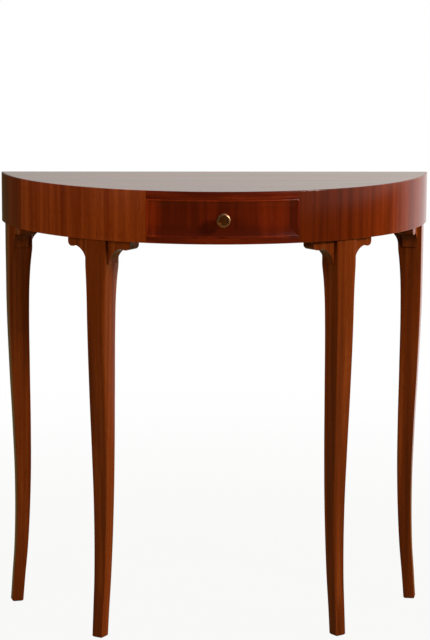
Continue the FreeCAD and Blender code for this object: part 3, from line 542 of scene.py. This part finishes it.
def board_tone(tree, place, tone, joints, painted_shade_below, painted_crown_highlight):
    """Tone of a board under its grain, with steps in tone along the bowed front that are partly leaf tones
    and partly painted light and shade, painted shade below a height and a painted highlight past a radius.
    """
    # Painted shade: the wood is darker below a height
    if painted_shade_below:
        low, high, deeper = painted_shade_below
        height = add(tree, "ShaderNodeSeparateXYZ", {0: place})["Z"]
        tone = add(tree, "ShaderNodeMapRange", {
            "Value": height, "From Min": low * MM, "From Max": high * MM,
            "To Min": tone - deeper, "To Max": tone})[0]
    # Steps in tone along the bowed front: leaf tones, and painted light and shade
    for arc, step in joints:
        along = add(tree, "ShaderNodeSeparateXYZ", {0: place})["X"]
        past = add(tree, "ShaderNodeMath", {0: along, 1: arc * MM}, operation="GREATER_THAN")[0]
        tone = add(tree, "ShaderNodeMath", {0: past, 1: step, 2: tone}, operation="MULTIPLY_ADD")[0]
    # Painted highlight: the bead's crown, proud of the field, is paler
    if painted_crown_highlight:
        near, far, paler = painted_crown_highlight
        plan = add(tree, "ShaderNodeTexCoord")["Object"]
        plan = add(tree, "ShaderNodeVectorMath", {0: plan, 1: (1, 1, 0)}, operation="MULTIPLY")[0]
        axis = (0, AXIS_Y * MM, 0)
        out = add(tree, "ShaderNodeVectorMath", {0: plan, 1: axis}, operation="DISTANCE")["Value"]
        proud = add(tree, "ShaderNodeMapRange",
                    {"Value": out, "From Min": near * MM, "From Max": far * MM})[0]
        tone = add(tree, "ShaderNodeMath", {0: proud, 1: paler, 2: tone}, operation="MULTIPLY_ADD")[0]
    return tone


def wood(name, run, pale, body, deep, fibre=1.6, streak=5, ribbon=14, length=260, gloss=(0.16, 0.26),
         ior=1.3, relief=0.04, contrast=1.0, joints=(), painted_shade_below=None, painted_crown_highlight=None):
    """Wood whose grain runs along x, y or z, or upright or round about the bowed front.

    fibre, streak and ribbon are widths across the grain and length is along it, all in millimetres.
    gloss is the roughness of the glossiest and the dullest streaks, and ior how strongly polish mirrors.
    relief is how strongly the fibres stand out, and contrast how strongly the grain is coloured.
    Steps in tone are places along the bowed front, each with its step; some are where leaves of veneer
    meet, and they also paint light and shade.
    The shade below is a lower height, an upper height and how much deeper the wood below the lower one is
    painted, as painted shade.
    The crown highlight is a radius about the bowed front's axis, a larger one and how much paler the wood
    past it is painted, as a painted highlight.
    """
    finish = bpy.data.materials.new(name)
    finish.use_nodes = True
    tree = finish.node_tree
    tree.nodes.clear()
    place = add(tree, "ShaderNodeTexCoord")["Object"]
    if run in ("upright", "round"):
        place = bowed_place(tree, place)
    axis = {"x": 0, "round": 0, "y": 1}.get(run, 2)

    def figure(width, along, detail):
        """Noise drawn out along the grain, with its width and its length in millimetres."""
        scale = [1 / (width * MM)] * 3
        scale[axis] = 1 / (along * MM)
        stretched = add(tree, "ShaderNodeVectorMath", {0: place, 1: scale}, operation="MULTIPLY")[0]
        return add(tree, "ShaderNodeTexNoise",
                   {"Vector": stretched, "Scale": 1, "Detail": detail, "Roughness": 0.5})[0]

    # Ribbons run longer than streaks; fibres and pores are short
    ribbons = figure(ribbon, length * 2, 1)
    streaks = figure(streak, length, 2)
    fibres = figure(fibre, length / 5, 2)
    # Pores are a quarter of this width; they are drawn coarser so that they show
    pores = figure(fibre * 0.75, length / 16, 0)

    tone = board_tone(tree, place, BODY_TONE * (1 - contrast), joints, painted_shade_below, painted_crown_highlight)
    for part, share in ((ribbons, RIBBON_SHARE), (streaks, STREAK_SHARE), (fibres, FIBRE_SHARE)):
        tone = add(tree, "ShaderNodeMath",
                   {0: part, 1: share * contrast, 2: tone}, operation="MULTIPLY_ADD")[0]
    dark = add(tree, "ShaderNodeMapRange",
               {"Value": tone, "From Min": DEEP_TONE, "From Max": BODY_TONE})[0]
    light = add(tree, "ShaderNodeMapRange",
                {"Value": tone, "From Min": BODY_TONE, "From Max": PALE_TONE})[0]
    colour = add(tree, "ShaderNodeMix", {0: dark, 6: linear(deep), 7: linear(body)}, data_type="RGBA")[2]
    colour = add(tree, "ShaderNodeMix", {0: light, 6: colour, 7: linear(pale)}, data_type="RGBA")[2]
    open_pore = add(tree, "ShaderNodeMapRange", {
        "Value": pores, "From Min": PORE_START, "From Max": PORE_FULL, "To Max": PORE_SHARE})[0]
    colour = add(tree, "ShaderNodeMix", {0: open_pore, 6: colour, 7: linear(deep)}, data_type="RGBA")[2]

    # A rounded normal leaves the face's own one only at an edge, which is where the wood is worn
    rounded = add(tree, "ShaderNodeBevel", {"Radius": WORN_EDGE * MM}, samples=4)[0]
    square = add(tree, "ShaderNodeNewGeometry")["Normal"]
    facing = add(tree, "ShaderNodeVectorMath", {0: rounded, 1: square}, operation="DOT_PRODUCT")["Value"]
    worn = add(tree, "ShaderNodeMapRange", {
        "Value": facing, "From Min": WEAR_START, "From Max": WEAR_FULL, "To Max": WORN_SHARE})[0]
    colour = add(tree, "ShaderNodeMix", {0: worn, 6: colour, 7: linear(pale)}, data_type="RGBA")[2]
    sheen = add(tree, "ShaderNodeMapRange", {
        "Value": streaks, "From Min": GLOSSY_STREAK, "From Max": DULL_STREAK,
        "To Min": gloss[0], "To Max": gloss[1]})[0]
    sheen = add(tree, "ShaderNodeMath", {0: worn, 1: WORN_SHARE, 2: sheen}, operation="MULTIPLY_ADD")[0]
    bump = add(tree, "ShaderNodeBump",
               {"Height": fibres, "Strength": relief, "Distance": FIBRE_DEPTH * MM})[0]
    shader = add(tree, "ShaderNodeBsdfPrincipled", {
        "Base Color": colour, "Roughness": sheen, "IOR": ior, "Normal": bump})
    add(tree, "ShaderNodeOutputMaterial", {"Surface": shader[0]})
    return finish


def turned_metal(name, bright, dull, patch, mark, gloss, hollow=0.0):
    """Metal with duller patches in its skin and fine marks of the tool.

    patch and mark are widths in millimetres, and gloss is the roughness of the glossiest and dullest skin.
    hollow is the radius about the knob's axis within which the metal is darkened all over, partly as patina
    and partly as painted dark reflection.
    """
    finish = bpy.data.materials.new(name)
    finish.use_nodes = True
    tree = finish.node_tree
    tree.nodes.clear()
    place = add(tree, "ShaderNodeTexCoord")["Object"]
    cloud = add(tree, "ShaderNodeTexNoise",
                {"Vector": place, "Scale": 1 / (patch * MM), "Detail": 5, "Roughness": 0.6})[0]
    # Tool marks are finer than this; they are drawn coarser so that they show
    marks = add(tree, "ShaderNodeTexNoise", {"Vector": place, "Scale": 1 / (mark * MM), "Detail": 2})[0]
    tarnish_and_dark_reflection = add(tree, "ShaderNodeMapRange",
                  {"Value": cloud, "From Min": TARNISH_START, "From Max": TARNISH_FULL})[0]
    # Partly patina and partly painted dark reflection: the hollow is darkened all over
    if hollow:
        axis = (0, 0, KNOB_HEIGHT * MM)
        across = add(tree, "ShaderNodeVectorMath", {0: place, 1: (1, 0, 1)}, operation="MULTIPLY")[0]
        out = add(tree, "ShaderNodeVectorMath", {0: across, 1: axis}, operation="DISTANCE")["Value"]
        inside = add(tree, "ShaderNodeMapRange", {
            "Value": out, "From Min": (hollow + HOLLOW_FADE / 2) * MM,
            "From Max": (hollow - HOLLOW_FADE / 2) * MM})[0]
        tarnish_and_dark_reflection = add(tree, "ShaderNodeMath", {0: tarnish_and_dark_reflection, 1: inside}, operation="MAXIMUM")[0]
    colour = add(tree, "ShaderNodeMix",
                 {0: tarnish_and_dark_reflection, 6: linear(bright), 7: linear(dull)}, data_type="RGBA")[2]
    sheen = add(tree, "ShaderNodeMapRange", {
        "Value": cloud, "From Min": GLOSSY_CLOUD, "From Max": DULL_CLOUD,
        "To Min": gloss[0], "To Max": gloss[1]})[0]
    bump = add(tree, "ShaderNodeBump",
               {"Height": marks, "Strength": MARK_STRENGTH, "Distance": MARK_DEPTH * MM})[0]
    shader = add(tree, "ShaderNodeBsdfPrincipled", {
        "Base Color": colour, "Roughness": sheen, "Metallic": 1, "Normal": bump})
    add(tree, "ShaderNodeOutputMaterial", {"Surface": shader[0]})
    return finish


# Mahogany veneer, sliced, laid upright leaf by leaf and polished: soft red-brown ribbons that turn a shade
# deeper or paler at each joint, the steps also painting shade on the far left leaf and the leaf right of
# the middle, under a thin gloss that mirrors only at a low angle
veneer = wood("mahogany_veneer_polished", "upright", pale="#8c3a10", body="#6c2404", deep="#4f1601",
              gloss=(0.1, 0.18), contrast=0.5,
              joints=((-700, -0.1), (-441, 0.15), (-194, 0.05), (53, -0.19), (300, 0.04)))
# Mahogany, sawn, bent lengthwise and polished: level streaks in a redder brown that come and go
rail_wood = wood("mahogany_rail_polished", "round", pale="#7a2508", body="#5a1704", deep="#430e02",
                 length=85)
# Mahogany board, planed and polished: broad quiet figure along the table under the glossiest face
top_wood = wood("mahogany_top_polished", "x", pale="#7a3116", body="#5f240d", deep="#471706",
                gloss=(0.1, 0.18), streak=7, ribbon=34, length=420)
# Mahogany, sawn to the curve, scraped and polished: straight narrow grain that runs down the leg, edges
# rubbed paler, and painted shade makes the foot a little deeper than the head
leg_wood = wood("mahogany_leg_polished", "z", pale="#893e13", body="#6b2907", deep="#4e1b03",
                ribbon=11, length=320, contrast=0.6, gloss=(0.12, 0.22), painted_shade_below=(0, HEAD_BOTTOM, 0.04))
# Mahogany veneer on the drawer, sliced and polished: the darkest and quietest figure, upright like the
# apron's. Its steps in tone paint light and shade: paler over the left moulding and the field's right,
# deeper over the field's left and the right moulding. Painted shade deepens it from 26 to 8 mm above its
# lower edge, and a painted highlight makes the bead pale where it is highest.
front_wood = wood("mahogany_drawer_front_polished", "upright",
                  pale="#7b2305", body="#651a03", deep="#4b1102", streak=7, ribbon=22, contrast=0.7,
                  joints=((-119, -0.09), (27, 0.09), (119, -0.16)),
                  painted_shade_below=(FRONT_BOTTOM + 8, FRONT_BOTTOM + 26, 0.1),
                  painted_crown_highlight=(FIELD_RADIUS + 1.7, FIELD_RADIUS + 2.4, 0.15))
# Beech, sawn and planed but not polished: pale, even, dry and almost without gloss
BEECH = {"pale": "#d9b78a", "body": "#c79f6f", "deep": "#ae8455",
         "gloss": (0.5, 0.65), "ior": 1.45, "relief": 0.15}
beech_round = wood("beech_core_sawn", "round", **BEECH)
beech_across = wood("beech_rail_planed", "x", **BEECH)
beech_deep = wood("beech_runner_planed", "y", **BEECH)
beech_up = wood("beech_dowel_turned", "z", **BEECH)
# Oak, planed and waxed: coarser grain, browner than beech, with a dull soft sheen
OAK = {"pale": "#cba676", "body": "#b58d5b", "deep": "#8f6a3d",
       "gloss": (0.48, 0.62), "ior": 1.45, "relief": 0.2}
oak_deep = wood("oak_drawer_side_planed", "y", **OAK)
oak_across = wood("oak_drawer_back_planed", "x", **OAK)
# Birch plywood, peeled and sanded: wide pale flames with hardly any pores
birch = wood("birch_plywood_sanded", "x", pale="#e2cda6", body="#d6bc90", deep="#c2a173",
             ribbon=45, length=500, gloss=(0.45, 0.6), ior=1.45, relief=0.08)
# Brass, turned, lacquered long ago and browned by hands: warm bright rims and brown clouds, with the hollow
# darkened all over, partly patina and partly painted dark reflection
brass = turned_metal("brass_turned_aged", "#d39c76", "#8e522c", patch=5, mark=0.5,
                     gloss=(0.24, 0.4), hollow=KNOB_DISH)
# Steel wood screw, cut and left bright: cool grey with a dull film
steel = turned_metal("steel_screw_bright", "#9a9894", "#6f6c67", patch=3, mark=0.6, gloss=(0.3, 0.5))


# Pieces

def fit(piece, body, slot, finish, *replaced):
    """Give a piece its finish, the body it moves with and the CAD nodes that it stands for."""
    piece.data.materials.clear()
    piece.data.materials.append(finish)
    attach(piece, body)
    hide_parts(*replaced)


for hand, side in (("left", -1), ("right", 1)):
    ends = sorted((at_back(side), at_side(side * OPENING_SIDE)), key=lambda end: end(RADIUS))
    skirt = bowed_board("apron_veneer_%s_polished" % hand, edged_section(APRON_BOTTOM), *ends, APRON_STEPS)
    soften(skirt, width=0.4)
    fit(skirt, "table", "mahogany_veneer", veneer, "apron_veneer_" + hand)
    strip = upright_moulding("drawer_moulding_%s_polished" % hand, side)
    fit(strip, "drawer", "mahogany_moulding", front_wood, "drawer_moulding_" + hand)

opening = at_side(-OPENING_SIDE), at_side(OPENING_SIDE)
band = bowed_board("top_edge_band_polished", edged_section(TOP_UNDER), *opening, OPENING_STEPS)
soften(band, width=0.3)
fit(band, "table", "mahogany_top", rail_wood, "top_edge_band")
RAILS = {"upper_drawer_rail": (OPENING_TOP, TOP_UNDER), "lower_drawer_rail": (APRON_BOTTOM, OPENING_BOTTOM)}
for name, heights in RAILS.items():
    rail = bowed_board(name + "_polished", oblong(INNER_RADIUS, RADIUS, *heights), *opening, OPENING_STEPS)
    soften(rail, width=0.4)
    fit(rail, "table", "mahogany_rail", rail_wood, name)

top_board = half_round_top("top_panel_polished")
soften(top_board, width=0.4)
fit(top_board, "table", "mahogany_top", top_wood, "top_panel")

for name, edge, way in (("top", MOULDING_TOP, 1), ("bottom", MOULDING_BOTTOM, -1)):
    strip = level_moulding("drawer_moulding_%s_polished" % name, edge, way)
    fit(strip, "drawer", "mahogany_moulding", front_wood, "drawer_moulding_" + name)

leg_tree = sabre_leg_tree()
for corner, turn in LEG_TURNS.items():
    leg = sabre_leg("leg_%s_polished" % corner, leg_tree, turn, leg_wood)
    soften(leg, width=0.8)
    fit(leg, "table", "mahogany_leg", leg_wood, "leg_" + corner)
    end, hand = corner.split("_")
    outward = 1 if hand == "right" else -1
    ways = {"outer": outward, "inner": -outward} if end == "front" else {"forward": -outward}
    for way, side in ways.items():
        shaped = bracket("bracket_%s_%s_polished" % (corner, way), math.radians(turn), side)
        soften(shaped, width=0.7)
        fit(shaped, "table", "mahogany_leg", leg_wood, "bracket_%s_%s" % (corner, way))
    if end == "rear":
        shaped = back_bracket("bracket_%s_inner_polished" % corner, outward)
        soften(shaped, width=0.7)
        fit(shaped, "table", "mahogany_leg", leg_wood, "bracket_%s_inner" % corner)

knob = turned_brass("drawer_knob_turned", knob_profile())
fit(knob, "drawer", "aged_brass", brass, "drawer_knob")
rose = turned_brass("knob_rose_turned", rose_profile())
fit(rose, "drawer", "aged_brass", brass, "knob_rose")

# CAD nodes that are right as they are take only a finish
FINISHES = {
    front_wood: ("drawer_front",),
    beech_round: ("apron_left", "apron_right", "glue_blocks"),
    beech_across: ("back_rail", "drawer_stops"),
    beech_deep: ("runner_left", "runner_right", "guide_left", "guide_right",
                 "kicker_left", "kicker_right"),
    beech_up: ("bracket_dowels", "rail_dowels", "runner_dowels", "back_rail_dowels"),
    oak_deep: ("drawer_side_left", "drawer_side_right"),
    oak_across: ("drawer_back",),
    birch: ("drawer_bottom",),
    steel: ("leg_screws", "top_screws", "guide_screws", "runner_screws", "drawer_bottom_screws",
            "knob_screw"),
}
for finish, names in FINISHES.items():
    for name in names:
        nodes[name].material_slots[0].material = finish


# Camera, floor and light

# Camera of the photograph, a long lens a little left of the middle and above the top: place in metres,
# angles in degrees, focal length and the picture's height in millimetres
CAMERA_PLACE = (-0.17360, -4.10298, 1.25151)
CAMERA_YAW = 2.3308
CAMERA_PITCH = 9.448
CAMERA_ROLL = 0.2626
FOCAL_LENGTH = 128.966625
PICTURE_HEIGHT = 36

# Floor: how far it reaches, and from where to where it grows to plain white, in metres from the table's
# middle, and how white it is seen before that
FLOOR_REACH = 80
SEEN_WHITE = (0.5, 2.5)
NEARLY_WHITE = 0.93

# White paper that glossy faces mirror: from where to where it comes in, in metres from the table's middle,
# and at its two ends, in radians round the table from its right
PAPER_START = (1.0, 2.2)
PAPER_RIGHT_END = (0.2, 0.7)
PAPER_LEFT_END = (1.9, 1.5)

# Room light: its brightest side, the cosine within which it is full, and its least and greatest strength
BRIGHT_SIDE = (0.85, 0.5, 0.2)
BRIGHT_COSINE = 0.95
DIM_LEVEL = 0.1
BRIGHT_LEVEL = 1.25

# What every lamp is turned to, in metres
TABLE_MIDDLE = (0, -0.1, 0.65)


def photo_camera():
    """Camera where the photograph was taken from."""
    yaw, pitch, roll = (math.radians(angle) for angle in (CAMERA_YAW, CAMERA_PITCH, CAMERA_ROLL))
    level = Vector((math.sin(yaw), math.cos(yaw), 0))
    ahead = level * math.cos(pitch) - Vector((0, 0, 1)) * math.sin(pitch)
    right = Vector((level.y, -level.x, 0))
    up = right.cross(ahead)
    tilt = Matrix.Rotation(roll, 3, ahead)
    right, up = tilt.inverted() @ right, tilt.inverted() @ up
    data = bpy.data.cameras.new("photo_camera")
    data.sensor_width = PICTURE_HEIGHT
    data.lens = FOCAL_LENGTH
    camera = bpy.data.objects.new("photo_camera", data)
    turn = Matrix((right, up, -ahead)).transposed().to_4x4()
    camera.matrix_world = Matrix.Translation(CAMERA_PLACE) @ turn
    bpy.context.scene.collection.objects.link(camera)
    bpy.context.scene.camera = camera


def pale_floor():
    """Plain floor, seen white with the table's soft shadow on it, that throws little light back up.

    Glossy faces mirror white paper behind the table and to its right, and the floor's dull olive elsewhere.
    """
    mesh = bpy.data.meshes.new("floor")
    corners = [(x * FLOOR_REACH, y * FLOOR_REACH, 0) for x, y in ((-1, -1), (1, -1), (1, 1), (-1, 1))]
    mesh.from_pydata(corners, [], [(0, 1, 2, 3)])
    floor = bpy.data.objects.new("floor", mesh)
    bpy.context.scene.collection.objects.link(floor)
    paint = bpy.data.materials.new("floor_matt_paper")
    paint.use_nodes = True
    tree = paint.node_tree
    tree.nodes.clear()
    place = add(tree, "ShaderNodeTexCoord")["Object"]
    away = add(tree, "ShaderNodeVectorMath", {0: place}, operation="LENGTH")["Value"]
    split = add(tree, "ShaderNodeSeparateXYZ", {0: place})
    round_table = add(tree, "ShaderNodeMath", {0: split["Y"], 1: split["X"]}, operation="ARCTAN2")[0]
    ray = add(tree, "ShaderNodeLightPath")
    mirrored = ray["Is Glossy Ray"]
    limits = (round_table, PAPER_RIGHT_END), (round_table, PAPER_LEFT_END), (away, PAPER_START)
    for measure, (start, end) in limits:
        paper = add(tree, "ShaderNodeMapRange", {"Value": measure, "From Min": start, "From Max": end},
                    interpolation_type="SMOOTHSTEP")[0]
        mirrored = add(tree, "ShaderNodeMath", {0: mirrored, 1: paper}, operation="MULTIPLY")[0]
    plain = add(tree, "ShaderNodeMapRange", {
        "Value": away, "From Min": SEEN_WHITE[0], "From Max": SEEN_WHITE[1], "To Min": NEARLY_WHITE},
        interpolation_type="SMOOTHSTEP")[0]
    seen = add(tree, "ShaderNodeMath", {0: ray["Is Camera Ray"], 1: plain}, operation="MULTIPLY")[0]
    share = add(tree, "ShaderNodeMath", {0: mirrored, 1: seen}, operation="MAXIMUM")[0]
    matt = add(tree, "ShaderNodeBsdfDiffuse", {"Color": linear("#6a6742")})
    white = add(tree, "ShaderNodeEmission", {"Color": linear("#ffffff"), "Strength": 1})
    mixed = add(tree, "ShaderNodeMixShader", {0: share, 1: matt[0], 2: white[0]})
    add(tree, "ShaderNodeOutputMaterial", {"Surface": mixed[0]})
    mesh.materials.append(paint)


def studio_sky():
    """Soft room light, pale behind the table and dim in front of it; the room is seen as plain white."""
    world = bpy.data.worlds.new("studio")
    world.use_nodes = True
    tree = world.node_tree
    tree.nodes.clear()
    way = add(tree, "ShaderNodeTexCoord")["Generated"]
    bright_side = Vector(BRIGHT_SIDE).normalized()
    toward = add(tree, "ShaderNodeVectorMath", {0: way, 1: bright_side}, operation="DOT_PRODUCT")["Value"]
    level = add(tree, "ShaderNodeMapRange", {
        "Value": toward, "From Max": BRIGHT_COSINE, "To Min": DIM_LEVEL, "To Max": BRIGHT_LEVEL})[0]
    seen = add(tree, "ShaderNodeLightPath")["Is Camera Ray"]
    level = add(tree, "ShaderNodeMath", {0: level, 1: seen}, operation="MAXIMUM")[0]
    sky = add(tree, "ShaderNodeBackground", {"Color": linear("#fffdf6"), "Strength": level})
    add(tree, "ShaderNodeOutputWorld", {"Surface": sky[0]})
    bpy.context.scene.world = world


def soft_box(name, place, size, power, mirrored=True):
    """Square lamp turned to the table; one that isn't mirrored lights the wood but makes no glare on it.

    place and size are in metres and power is in watts.
    """
    data = bpy.data.lights.new(name, "AREA")
    data.size = size
    data.energy = power
    lamp = bpy.data.objects.new(name, data)
    lamp.location = place
    lamp.rotation_euler = (Vector(TABLE_MIDDLE) - Vector(place)).to_track_quat("-Z", "Y").to_euler()
    lamp.visible_glossy = mirrored
    bpy.context.scene.collection.objects.link(lamp)


photo_camera()
pale_floor()
studio_sky()
# From the front right for the forms, from the left for the shaded side, from behind the right end for the
# legs' inner faces, and from behind for a line along the back edge
soft_box("key_right", place=(2.72, -2.08, 2.33), size=0.7, power=108)
soft_box("fill_left", place=(-1.85, -1.3, 1.35), size=1.0, power=27, mirrored=False)
soft_box("rim_right", place=(4.75, 2.62, 0.9), size=0.9, power=440, mirrored=False)
soft_box("line_behind", place=(0.3, 2.4, 2.6), size=1.6, power=20)

bpy.context.scene.view_settings.view_transform = "Standard"
